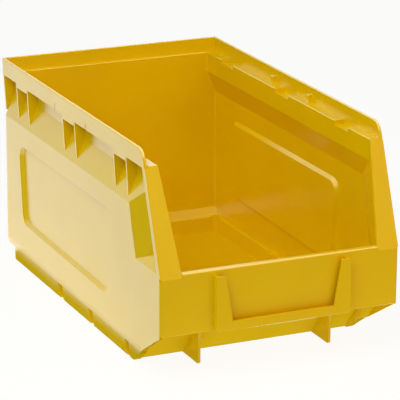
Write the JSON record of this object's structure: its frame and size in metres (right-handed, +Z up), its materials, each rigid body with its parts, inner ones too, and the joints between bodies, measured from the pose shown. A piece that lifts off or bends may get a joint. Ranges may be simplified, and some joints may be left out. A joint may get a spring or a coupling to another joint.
{
  "type": "stackable storage bin",
  "caption": "Open-fronted stackable storage bin with a sloping front opening, upstanding rim, stacking ledge and foot, recessed sides and a label holder on the front panel.",
  "frame": {"origin": "bottom centre of the bounding box, on the plane the foot stands on", "axes": "+Z up, +Y from the open front towards the back wall, +X to the right for someone facing the open front"},
  "size_m": [0.205, 0.356, 0.182],
  "materials": {
    "moulding": "glossy moulded yellow with fine scuffs"
  },
  "bodies": {
    "root": {"floor": "moulding", "front_lip": "moulding", "front_panel": "moulding", "front_shelf": "moulding", "front_slope": "moulding", "label_bottom_rib": "moulding", "label_face_bar": "moulding", "label_left_face": "moulding", "label_left_rib": "moulding", "label_right_face": "moulding", "label_right_rib": "moulding", "left_fin": "moulding", "left_foot_corner": "moulding", "left_foot_rail": "moulding", "left_front_flange": "moulding", "left_front_side": "moulding", "left_ledge": "moulding", "left_pegs": "moulding", "left_pocket_floor": "moulding", "left_pocket_wall": "moulding", "left_rim_band": "moulding", "left_shoulder": "moulding", "left_skirt": "moulding", "left_upper_wall": "moulding", "left_wall": "moulding", "left_webs": "moulding", "rear_foot": "moulding", "rear_hanging_lip": "moulding", "rear_ledge": "moulding", "rear_rim_band": "moulding", "rear_wall": "moulding", "right_fin": "moulding", "right_foot_corner": "moulding", "right_foot_rail": "moulding", "right_front_flange": "moulding", "right_front_side": "moulding", "right_ledge": "moulding", "right_pegs": "moulding", "right_pocket_floor": "moulding", "right_pocket_wall": "moulding", "right_rim_band": "moulding", "right_shoulder": "moulding", "right_skirt": "moulding", "right_upper_wall": "moulding", "right_wall": "moulding", "right_webs": "moulding"}
  },
  "joints": []
}
